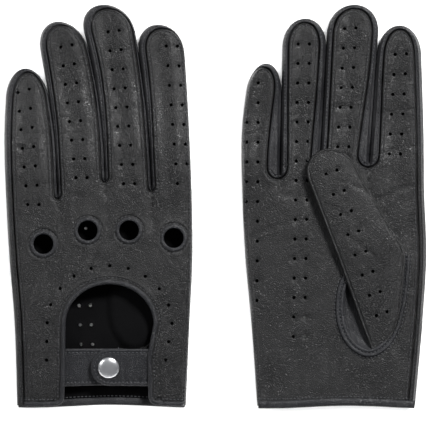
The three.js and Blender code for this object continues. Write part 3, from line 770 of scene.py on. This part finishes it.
def cut_panels(face):
    """One face's leather as {(finger or -1, is strip): (places, normals, triangles)}."""
    glove = face.glove
    lines = [face.outline, face.seam]
    cuff = resample([face.outline[-1], face.outline[0]], 1.6)[1:-1]
    lines.append(np.vstack([face.outline[-1], cuff, face.outline[0]]))
    for f in range(4):
        low, high = glove.split(f)
        ends = [(glove.sides(f, low)[0], low), (glove.sides(f, high)[1], high)]
        lines.append(resample(ends, 1.6))
    loops = [ring_points(x, y, r, 10 if r < 2 else 36) for x, y, r in face.holes]
    keyhole = None
    rows_beside = []
    if face.face == "back":
        keyhole = keyhole_path(0, 1.5)
        lines.append(keyhole)
        rows_beside = [keyhole_path(offset, 0.9) for offset in (*ARCH_RELIEF[0][:-1], 5.4)]
        for x, y in KNUCKLES:
            rows_beside += [ring_points(x, y, r, 48) for r in RING_RELIEF[0]]
    else:
        loops.append(face.oval)
    closed = np.vstack([face.outline, cuff])
    rows_beside = [row[inside(row, closed)] for row in rows_beside]
    xy, triangles = lay_mesh(lines, loops, closed, face.seam, MESH_STEP, rows_beside)
    middle = xy[triangles].mean(axis=1)
    keep = inside(middle, closed)
    if keyhole is not None:
        keep &= ~inside(middle, np.vstack([keyhole, keyhole[-1:] - (0, 9), keyhole[:1] - (0, 9)]))
    nearest = near(face.hole_tree, middle[:, 0], middle[:, 1])
    keep &= nearest > HOLE_RADIUS
    for x, y, r in face.holes:
        if r > HOLE_RADIUS:
            keep &= np.hypot(middle[:, 0] - x, middle[:, 1] - y) > r
    strip = ~inside(middle, face.seam)
    finger = finger_of(glove, middle)
    places, normals = face.surface(xy)
    oval = inside(middle, face.oval) & (face.face == "palm")
    cut = {"oval": (places, normals, triangles[keep & oval])}
    for f in range(-1, 4):
        for is_strip in (False, True):
            chosen = keep & (finger == f) & (strip == is_strip) & ~oval
            cut[f, is_strip] = (places, normals, triangles[chosen])
    return cut


# soft wrinkles: x, y, direction in degrees, length, width and depth
BACK_CREASES = (
    (-41, 158, 10, 12, 1.6, 0.35),
    (-43, 150, -8, 10, 1.4, 0.25),
    (-16, 168, 6, 13, 1.7, 0.35),
    (-14, 158, -5, 12, 1.5, 0.25),
    (10, 172, 5, 14, 1.8, 0.35),
    (12, 162, -8, 12, 1.5, 0.3),
    (37, 166, 2, 13, 1.8, 0.35),
    (38, 156, -10, 12, 1.5, 0.25),
    (-38, 70, 62, 16, 2.2, 0.5),
    (-44, 52, 74, 16, 2.2, 0.5),
    (48, 66, 108, 16, 2.2, 0.5),
    (44, 84, 124, 12, 2.0, 0.4),
    (-20, 112, 80, 13, 2.2, 0.4),
    (5, 118, 84, 13, 2.2, 0.4),
    (30, 115, 96, 13, 2.2, 0.4),
)
PALM_CREASES = (
    (-40, 160, 4, 12, 1.6, 0.35),
    (-18, 170, 4, 12, 1.6, 0.3),
    (8, 174, -3, 14, 1.7, 0.35),
    (37, 172, 6, 13, 1.7, 0.35),
    (38, 150, 12, 14, 1.8, 0.35),
    (30, 122, 28, 18, 2.4, 0.5),
    (-18, 122, -6, 22, 2.2, 0.35),
    (-36, 104, 20, 16, 2.2, 0.35),
    (-14, 20, 80, 12, 2.4, 0.4),
    (14, 14, 95, 10, 2.2, 0.4),
    (-36, 22, 70, 12, 2.2, 0.4),
    (47, 60, 96, 22, 2.2, 0.4),
)

GLOVES = (
    Glove(
        "left",
        False,
        LEFT_BOTTOMS,
        (
            [[0, -47.9], [50, -49], [87, -51.9], [125, -54], [160, -54.9], [200, -53.6]],
            [[120, -23.6], [160, -26.3], [200, -33.2]],
            [[125, 3.9], [160, 1.8], [200, -4.8], [235, -13.5]],
            [[125, 30.7], [160, 28.5], [200, 23.5], [235, 18]],
            [[0, 50.2], [50, 52.5], [87, 54.2], [125, 53.7], [160, 52.3], [200, 49.9], [235, 47]],
        ),
        (196.6, 223.9, 233.7, 222.1),
        (123.3, 132.9, 127.7),
    ),
    Glove(
        "right",
        True,
        RIGHT_BOTTOMS,
        (
            [[0, -44.4], [50, -48], [87, -51.4], [125, -53.2], [160, -53.4], [200, -48.6]],
            [[125, -31.5], [160, -30.8], [200, -30]],
            [[125, -9.5], [160, -7], [200, -4.8], [235, -3]],
            [[125, 19], [160, 22], [200, 24.8], [235, 27.5]],
            [[0, 47.3], [50, 51.8], [87, 54], [125, 52.8], [160, 52.5], [200, 51.3], [235, 50]],
        ),
        (199.5, 225.6, 233.7, 221.6),
        (134.5, 139.5, 141.5),
    ),
)
BACKS = {glove.side: Face(glove, "back", BACK_CREASES) for glove in GLOVES}
PALMS = {glove.side: Face(glove, "palm", PALM_CREASES) for glove in GLOVES}

for glove in GLOVES:
    side = glove.side
    cuts = {"back": cut_panels(BACKS[side]), "palm": cut_panels(PALMS[side])}
    for face_name, cut in cuts.items():
        panel = leather_solids([cut[-1, False]], f"{side}_{face_name}_panel", back_leather)
        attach(panel, glove.hand)
        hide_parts(f"{side}_hand_{face_name}")
        for f, finger in enumerate(FINGERS):
            stall = leather_solids([cut[f, False]], f"{side}_{finger}_{face_name}", back_leather)
            ride_finger(stall, glove, f)
            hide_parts(f"{side}_{finger}_tip_{face_name}")
    gusset = leather_solids([cuts["palm"]["oval"]], f"{side}_thumb_gusset", side_leather)
    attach(gusset, glove.hand)
    for f, finger in enumerate(FINGERS):
        strips = [cuts[name][f, True] for name in ("back", "palm")]
        strip = leather_solids(strips, f"{side}_{finger}_sides", side_leather)
        ride_finger(strip, glove, f)
    middles = [float(glove.centre(f, FINGER_ROOT)) for f in range(4)]
    for between in range(-1, 3):
        parts = []
        for cut in cuts.values():
            places, normals, triangles = cut[-1, True]
            gap = np.searchsorted(middles, (places[triangles, 0].mean(axis=1)) / MM - glove.x) - 1
            chosen = (gap == between) | ((between < 0) & (gap == 3))
            parts.append((places, normals, triangles[chosen]))
        if between < 0:
            piece = leather_solids(parts, f"{side}_hand_wraps", back_leather)
        else:
            pair = f"{FINGERS[between]}_{FINGERS[between + 1]}"
            piece = leather_solids(parts, f"{side}_fourchette_foot_{pair}", side_leather)
            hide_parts(f"{side}_fourchette_{pair}")
        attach(piece, glove.hand)

# Thread. Every seam is sewn with black bonded thread in short stitches, one row beside the
# seam on the panel and one on the fourchette. Each stitch dives into the leather at its ends.
STITCH = 1.55
STITCH_PITCH = 2.2
THREAD_RADIUS = 0.3
THREAD_SIDES = 6
# a stitch's rings: place along it, width, and height over the leather
STITCH_RINGS = ((-1, 0.35, -0.22), (-0.62, 0.9, 0.1), (0, 1, 0.18), (0.62, 0.9, 0.1), (1, 0.35, -0.22))
SEAM_ROW = 1.65
EDGE_CLEAR = 0.9


def bonded_thread(name):
    material, shade, surface = start_material(name)
    spot = shade.node("TexCoord", out=3)
    twist = shade.node("TexNoise", {}, {"Vector": spot, "Scale": 3200.0, "Detail": 2.0})
    colour = twist.mix((0.02, 0.02, 0.023, 1), (0.085, 0.088, 0.096, 1))
    bump = shade.node("Bump", {}, {"Strength": 0.5, "Distance": 0.0001, "Height": twist})
    feed(surface, Base_Color=colour, Roughness=0.45, Normal=bump)
    return material


thread = bonded_thread("bonded_thread")


def tube_faces(rings, sides, closed=False):
    """The faces of a tube of so many rings, with flat ends unless it closes on itself."""
    ring = np.arange(rings * sides).reshape(rings, sides)
    beyond = np.roll(ring, -1, 0)
    quads = np.stack([ring, np.roll(ring, -1, 1), np.roll(beyond, -1, 1), beyond], axis=2)
    faces = quads[: None if closed else -1].reshape(-1, 4).tolist()
    return faces if closed else faces + [ring[0][::-1].tolist(), ring[-1].tolist()]


def sew(name, runs):
    """Thread along runs of (places, normals), with a stitch at each place, or only where the
    flags that may follow them are set."""
    along, wide, lift = np.array(STITCH_RINGS).T * [[STITCH / 2], [THREAD_RADIUS], [1]]
    turn = np.arange(THREAD_SIDES) * 2 * math.pi / THREAD_SIDES
    tube = tube_faces(len(along), THREAD_SIDES)
    places, faces = [], []
    for centres, normals, *flags in runs:
        way = unit(np.gradient(centres, axis=0))
        side = unit(np.cross(normals, way))
        for k in np.nonzero(flags[0])[0] if flags else range(len(centres)):
            first = len(places) * len(along) * THREAD_SIDES
            places.append([
                centres[k] + (way[k] * along[r] + normals[k] * (lift[r] + wide[r] * math.sin(t))
                              + side[k] * wide[r] * math.cos(t)) * MM
                for r in range(len(along)) for t in turn
            ])
            faces += [[first + i for i in face] for face in tube]
    places = np.vstack(places)
    places[:, 2] = np.maximum(places[:, 2], TABLE_GAP * MM)
    return make_object(name, places, faces, thread)


for glove in GLOVES:
    runs = {f: [] for f in range(-1, 4)}
    for face in (BACKS[glove.side], PALMS[glove.side]):
        for offset in (SEAM_ROW, -SEAM_ROW):
            row = resample(beside(face.seam, offset), STITCH_PITCH)
            good = inside(row, face.outline) & (near(face.outline_tree, *row.T) > EDGE_CLEAR)
            good &= near(face.seam_tree, *row.T) > 0.8 * SEAM_ROW
            finger = finger_of(glove, row)
            surface = face.surface(row)
            for f in runs:
                runs[f].append((*surface, good & (finger == f)))
    for f, finger in enumerate(FINGERS):
        stitches = sew(f"{glove.side}_{finger}_stitches", runs[f])
        ride_finger(stitches, glove, f)
    stitches = sew(f"{glove.side}_hand_stitches", runs[-1])
    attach(stitches, glove.hand)


# Rolled edges. The wrist opening, the cuff and the four knuckle holes are finished with a strip
# of the same skin folded over the raw edge, plump at its middle, with a stitched line beside it.
LIP_SIZE = (2.7, 1.9)
LIP_MIDDLE = 1.0
LIP_STITCH = 3.6
LIP_ENDS = (3.6, 1.2)
HEM_SIZE = (4.6, 2.6)
HEM_MIDDLE = 1.9
HEM_STITCH = 5.0
HEM_END = 0.6
RIM_SIZE = (2.1, 1.3)
RIM_MIDDLE = 6.7
RIM_STITCH = 8.5
ROLL_SIDES = 14
ROLL_POWER = 0.8
# the rolled edges, thumb beads and strap take the same black skin in a lighter, bluer colour: a painted
# bluish sheen along the edges
painted_sheen_edge_leather = nappa("edge_nappa_painted_sheen", (0.0065, 0.0068, 0.0085, 1), (0.017, 0.018, 0.0225, 1), 0.33, 0.7)


def upright(sign, line):
    """Straight up or down as the normal at each point of a line."""
    return np.tile([0.0, 0.0, float(sign)], (len(line), 1))


def roll(name, face, line, size, lift=0.0, closed=False, level=None):
    """A plump strip laid along a line of the pattern, or at the given height over the table."""
    places, normals = face.surface(line)
    if level is not None:
        places[:, 2] = level * MM
        normals = upright(face.sign, line)
    ahead = np.roll(places, -1, 0) - np.roll(places, 1, 0) if closed else np.gradient(places, axis=0)
    side = unit(np.cross(normals, unit(ahead)))
    turn = np.arange(ROLL_SIDES) * 2 * math.pi / ROLL_SIDES
    across, up = (
        np.sign(part) * np.abs(part) ** ROLL_POWER * reach / 2
        for part, reach in zip((np.cos(turn), np.sin(turn)), size)
    )
    plump = 1 + 0.16 * swell(line[:, 0], line[:, 1], 4.5, face.seed)
    rings = [
        places + (side * across[k] + normals * (lift + up[k] * plump)[:, None]) * MM
        for k in range(ROLL_SIDES)
    ]
    points = np.stack(rings, axis=1).reshape(-1, 3)
    points[:, 2] = np.maximum(points[:, 2], TABLE_GAP * MM)
    return make_object(name, points, tube_faces(len(line), ROLL_SIDES, closed), painted_sheen_edge_leather)


for glove in GLOVES:
    side, back, palm = glove.side, BACKS[glove.side], PALMS[glove.side]
    left, right = glove.sides(0, CUFF_LINE)[0], glove.sides(3, CUFF_LINE)[1]
    legs = KEYHOLE_LEGS[0] - LEG_CORNER - left, right - KEYHOLE_LEGS[1] - LEG_CORNER
    reach = (legs[0] - LIP_ENDS[0], legs[1] - LIP_ENDS[1])
    lip = roll(f"{side}_keyhole_lip", back, keyhole_path(LIP_MIDDLE, 1.2, reach), LIP_SIZE, -0.15)
    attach(lip, glove.hand)
    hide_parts(f"{side}_keyhole_binding")
    hem_line = resample([(left + HEM_END, HEM_MIDDLE), (right - HEM_END, HEM_MIDDLE)], 1.5)
    flat_x = np.clip(hem_line[:, 0], left + 2.2, right - 2.2)
    level = palm.height(flat_x, hem_line[:, 1]) - palm.sign * LEATHER / 2
    hem = roll(f"{side}_palm_hem", palm, hem_line, HEM_SIZE, level=level)
    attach(hem, glove.hand)
    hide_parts(f"{side}_cuff_binding")
    lip_row = keyhole_path(LIP_STITCH, STITCH_PITCH, (reach[0] + 1, reach[1] - 1))
    hem_row = resample([(left + 2, HEM_STITCH), (right - 5, HEM_STITCH)], STITCH_PITCH)
    places, normals = palm.surface(hem_row)
    runs = [back.surface(lip_row), (places, normals), (places - normals * LEATHER * MM, -normals)]
    for (x, y), finger in zip(KNUCKLES, FINGERS):
        ring = ring_points(x, y, RIM_MIDDLE, 40)
        rim = roll(f"{side}_{finger}_knuckle_rim", back, ring, RIM_SIZE, closed=True)
        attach(rim, glove.hand)
        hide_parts(f"{side}_knuckle_rim_{finger}")
        runs.append(back.surface(ring_points(x, y, RIM_STITCH, 24)))
    stitches = sew(f"{side}_edge_stitches", runs)
    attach(stitches, glove.hand)


# Thumb. Two skins sewn edge to edge, set into the palm's oval opening with a double-stitched
# roll, and folded over the palm. Its outer skin has a double row of air holes.
THUMB = ((33, 24.2, 2.6), (38, 25.7, 6.0), (46, 26.3, 9.7), (60, 25.3, 13.7), (75, 23.3, 17.1),
         (90, 20.6, 19.9), (105, 13.6, 18.7), (120, 6.4, 17.2), (135, -0.6, 15.6), (150, -2.6, 15.6))
THUMB_TIP = 149.8
THUMB_TIP_ROUND = 17.0
THUMB_POWER = 2.6
# the level of the thumb's middle, and half its thickness, along the hand
THUMB_MIDDLES = ((30, 10.4), (60, 11.4), (78, 12.6), (96, 14.6), (112, 15.0), (150, 15.0))
THUMB_HALVES = ((30, 0.9), (44, 2.8), (62, 4.4), (92, 4.2), (112, 3.75), (150, 3.7))
# its double row of holes: top, bottom, how many and how far apart
THUMB_HOLES = ((-1.7, 136.0), (27.5, 54.1), 8, 6.6)
PAIR_TOP = 18.8
BEAD_SIZE = (2.3, 2.2)
THUMB_RELIEF = ((0, 0.7, 1.5, 2.4, 3.8), (0, 0.5, -0.25, 0.15, 0))
THUMB_CREASES = (
    (30, 66, 62, 12, 1.8, 0.5),
    (18, 92, -38, 14, 2.0, 0.45),
    (6, 112, -30, 13, 1.8, 0.35),
    (28, 84, 70, 10, 1.6, 0.4),
    (12, 128, -24, 10, 1.5, 0.3),
)


def even_out(values, reach):
    """Running means of a row of values, over reach of them to each side."""
    width = 2 * reach + 1
    return np.convolve(np.pad(values, reach, "edge"), np.ones(width) / width, "valid")


class Thumb(Face):
    """One skin of a thumb, outer or inner, with the same calls as a panel's face."""

    def __init__(self, glove, outer):
        self.glove = glove
        self.outer = outer
        self.sign = 1 if outer == glove.palm_up else -1
        self.seed = 21.0 if glove.palm_up else 27.0
        start = THUMB_TIP - THUMB_TIP_ROUND
        tip = start + THUMB_TIP_ROUND * np.sin(np.linspace(0.1, math.pi / 2, 14))
        ys = np.concatenate([np.linspace(THUMB[0][0], start, 60), tip])
        left, right = (np.column_stack([self.edge(ys, way), ys]) for way in (-1, 1))
        self.outline = resample(np.vstack([left, right[-2::-1]]), 1.6)
        self.seam = beside(self.outline, 3)
        self.outline_tree = point_tree(resample(self.outline, 0.25))
        self.holes = []
        if outer:
            top, low, count, spread = THUMB_HOLES
            row = np.linspace(top, low, count)
            for half in (-spread / 2, spread / 2):
                self.holes += [(x, y, HOLE_RADIUS) for x, y in beside(row, -half)]
        self.hole_tree = point_tree([hole[:2] for hole in self.holes] or [(999, 999)])

    def share(self, y):
        v = np.clip((y - THUMB_TIP + THUMB_TIP_ROUND) / THUMB_TIP_ROUND, 0, 1)
        return np.maximum(1 - v**2, 0) ** 0.5

    def edge(self, y, way):
        centre = curve([row[:2] for row in THUMB], y)
        half = curve([(row[0], row[2]) for row in THUMB], y)
        return centre + way * half * self.share(y)

    def height(self, x, y):
        left, right = self.edge(y, -1), self.edge(y, 1)
        u = np.clip(np.abs(x - (left + right) / 2) / np.maximum((right - left) / 2, 1e-3), 0, 1)
        round_over = (1 - u**THUMB_POWER) ** (1 / THUMB_POWER)
        dome = np.maximum(round_over * self.share(y) ** 0.4, EDGE_SHARE)
        middle, half = soft_steps(THUMB_MIDDLES, y), soft_steps(THUMB_HALVES, y)
        if not self.outer:
            half = half * (1 - 0.3 * (1 - smooth(68, 95, y)))
        if not self.glove.palm_up:
            middle = PAIR_TOP - middle
        rim = near(self.outline_tree, x, y)
        relief = 0.4 * swell(x, y, 22, self.seed) + 0.16 * swell(x, y, 8, self.seed + 3)
        gap = near(self.hole_tree, x, y)
        relief -= 0.2 * (1 - smooth(HOLE_RADIUS, HOLE_RADIUS + 1.1, gap))
        relief += np.interp(rim, *THUMB_RELIEF)
        relief -= creases(x, y, THUMB_CREASES)
        return np.maximum(middle + self.sign * (half * dome + relief * smooth(0, 1.0, rim)), TABLE_GAP)


for glove in GLOVES:
    side = glove.side
    for outer, name in ((True, "outer"), (False, "inner")):
        skin = Thumb(glove, outer)
        closing = resample([skin.outline[-1], skin.outline[0]], 1.0)
        closed = np.vstack([skin.outline, closing[1:-1]])
        loops = [ring_points(x, y, r, 10) for x, y, r in skin.holes]
        xy, triangles = lay_mesh([skin.outline, closing], loops, closed, skin.seam, MESH_STEP)
        middle = xy[triangles].mean(axis=1)
        keep = inside(middle, closed) & (near(skin.hole_tree, *middle.T) > HOLE_RADIUS)
        sheet = (*skin.surface(xy), triangles[keep])
        piece = leather_solids([sheet], f"{side}_thumb_{name}_skin", back_leather)
        glove.spot(24, 40)
        glove.spot(18, 80)
        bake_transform(piece)
        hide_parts(f"{side}_thumb_{name}")
    palm = PALMS[side]
    seam = resample(THUMB_OVAL[:12], 0.8)
    seam = np.column_stack([even_out(seam[:, k], 6) for k in (0, 1)])
    for offset, label in ((-1.2, "outer"), (1.2, "inner")):
        bead_line = beside(seam, offset)
        level = even_out(palm.height(*bead_line.T) + palm.sign * 0.35, 4)
        bead = roll(f"{side}_thumb_seam_{label}", palm, bead_line, BEAD_SIZE, level=level)
        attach(bead, glove.hand)
    runs = []
    for offset, proud in ((-2.9, 0.1), (0.0, 0.85)):
        line = resample(beside(seam, offset), STITCH_PITCH)
        level = palm.height(*line.T) + palm.sign * proud
        runs.append((glove.place(*line.T, level), upright(palm.sign, line)))
    stitches = sew(f"{side}_thumb_stitches", runs)
    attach(stitches, glove.hand)


# Wrist strap. A tab comes from under the little-finger leg of the opening and a round-nosed flap
# from under the other leg. Both are two skins thick, with turned and stitched edges.
STRAP_HALF = 11.0
STRAP_NOSE = -4.8
STRAP_EDGE = 2.1
STRAP_STEP = 2.0
# half the strap's thickness, by the distance from its edge
STRAP_PUFF = (
    (0, 0.12, 0.4, 0.9, 1.5, 2.0, 2.4, 3.4),
    (0.04, 0.35, 0.6, 0.82, 0.85, 0.62, 0.66, 0.75),
)
TAB_ENDS = (-26.0, 13.5)
FLAP_END = 33.0
# how deep the middle of the flap and of the tab lies below the glove's face, along x
FLAP_DEPTHS = ((-10, 0.75), (22, 0.75), (27, 1.5), (33, 2.2))
TAB_DEPTHS = ((-26, 2.4), (-18, 2.5), (-8, 3.3), (0, 4.7), (14, 4.9))


def strap_skin(glove, depths, tree, way):
    """The height of a strap's outer (way 1) or inner (way -1) skin over the pattern."""
    back = BACKS[glove.side]

    def lay(x, y):
        rim = near(tree, x, y)
        puff = np.interp(rim, *STRAP_PUFF)
        puff += 0.12 * swell(x, y, 9, 40.0) * smooth(1, 3, rim)
        base = glove.form(back.sign, np.clip(x, -30, 38) * 0.6, y)
        return base - back.sign * (soft_steps(depths, x) - way * puff)

    return lay


def strap_piece(name, glove, outline, depths):
    outline = resample(outline, 1.3, closed=True)
    tree = point_tree(resample(outline, 0.2, closed=True))
    ring = np.vstack([outline, outline[:1]])
    if not inside(beside(ring, 1)[3:4], outline)[0]:
        outline, ring = outline[::-1], ring[::-1]
    xy, triangles = lay_mesh([], [outline], outline, beside(ring, STRAP_EDGE), STRAP_STEP)
    middle = xy[triangles].mean(axis=1)
    triangles = triangles[inside(middle, outline)]
    sign = BACKS[glove.side].sign
    skins = []
    for way in (1, -1):
        lay = strap_skin(glove, depths, tree, way)
        places = glove.place(*xy.T, lay(*xy.T))
        skins.append((places, slope_normals(lay, *xy.T, sign * way)))
    places, faces, normals, _ = closed_shell(*skins, triangles)
    # the strap's lighter, bluer skin is the edges' painted bluish sheen
    piece = make_object(name, places, faces, painted_sheen_edge_leather, normals)
    line = resample(beside(ring, STRAP_EDGE + 0.15), STITCH_PITCH)
    level = strap_skin(glove, depths, tree, 1)(*line.T)
    return piece, (glove.place(*line.T, level), upright(sign, line))


for glove in GLOVES:
    side = glove.side
    turn = np.linspace(math.pi / 2, 3 * math.pi / 2, 24)
    high, low = STRAP_Y + STRAP_HALF, STRAP_Y - STRAP_HALF
    round_x = STRAP_NOSE + STRAP_HALF + STRAP_HALF * np.cos(turn)
    nose = np.column_stack([round_x, STRAP_Y + STRAP_HALF * np.sin(turn)])
    flap_line = np.vstack([[(FLAP_END, high)], nose, [(FLAP_END, low)]])
    tab_line = [(TAB_ENDS[1], high), (TAB_ENDS[0], high), (TAB_ENDS[0], low), (TAB_ENDS[1], low)]
    flap, flap_run = strap_piece(f"{side}_wrist_flap", glove, flap_line, FLAP_DEPTHS)
    tab, tab_run = strap_piece(f"{side}_wrist_tab", glove, tab_line, TAB_DEPTHS)
    flap_thread = sew(f"{side}_flap_stitches", [flap_run])
    tab_thread = sew(f"{side}_tab_stitches", [tab_run])
    sewn, free = glove.spot(30.5, STRAP_Y), glove.spot(23, STRAP_Y)
    for piece in (flap, flap_thread):
        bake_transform(piece)
    for piece in (tab, tab_thread):
        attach(piece, glove.hand)
    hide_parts(f"{side}_strap_flap")
    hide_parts(f"{side}_strap_tab")


# Press snap. A nickel-plated brass cap is riveted through the flap to its socket; the stud and
# its post hold the tab. The cap is spun, slightly domed, with a rolled rim.
# the cap from its middle out and round under its rim: radius, height over the strap
CAP_PROFILE = ((0, 2.3), (1.6, 2.32), (3.2, 2.15), (4.5, 1.8), (5.5, 1.27), (6.0, 0.83), (6.25, 0.4),
               (6.2, 0.15), (6.0, 0.03), (5.6, 0.03))
CAP_SIDES = 48
CAP_SEAT_X = 5.0


def plate(name):
    """Bright nickel with hairline wear."""
    material, shade, surface = start_material(name)
    spot = shade.node("TexCoord", out=3)
    hair = shade.node("TexNoise", {}, {"Vector": spot, "Scale": 900.0, "Detail": 5.0})
    smear = shade.node("TexNoise", {}, {"Vector": spot, "Scale": 160.0, "Detail": 2.0})
    colour = smear.mix((0.82, 0.83, 0.85, 1), (0.96, 0.96, 0.97, 1))
    bump = shade.node("Bump", {}, {"Strength": 0.12, "Distance": 0.00006, "Height": hair})
    feed(surface, Base_Color=colour, Metallic=1.0, Roughness=0.2 + smear * 0.3, Normal=bump)
    return material


nickel = plate("nickel_plate")

for glove in GLOVES:
    side = glove.side
    sign = BACKS[side].sign
    points, faces = [], []
    for radius, proud in CAP_PROFILE:
        x, y = ring_points(SNAP_X, STRAP_Y, radius, CAP_SIDES if radius else 1).T
        base = glove.form(sign, np.full(len(y), CAP_SEAT_X), y)
        points.append(glove.place(x, y, base + sign * proud))
    rings = len(CAP_PROFILE) - 1
    for i in range(CAP_SIDES):
        j = (i + 1) % CAP_SIDES
        faces.append([0, 1 + i, 1 + j])
        for r in range(rings - 1):
            near_ring, far_ring = 1 + r * CAP_SIDES, 1 + (r + 1) * CAP_SIDES
            faces.append([near_ring + i, far_ring + i, far_ring + j, near_ring + j])
    faces.append([1 + (rings - 1) * CAP_SIDES + i for i in range(CAP_SIDES)][::-1])
    if sign < 0:
        faces = [face[::-1] for face in faces]
    cap = make_object(f"{side}_snap_dome", np.vstack(points), faces, nickel)
    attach(cap, f"{side}_strap")
    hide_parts(f"{side}_snap_cap")
    for part in ("socket", "stud", "post"):
        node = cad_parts[f"{side}_snap_{part}"]
        for slot in node.material_slots:
            slot.material = nickel


low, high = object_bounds()
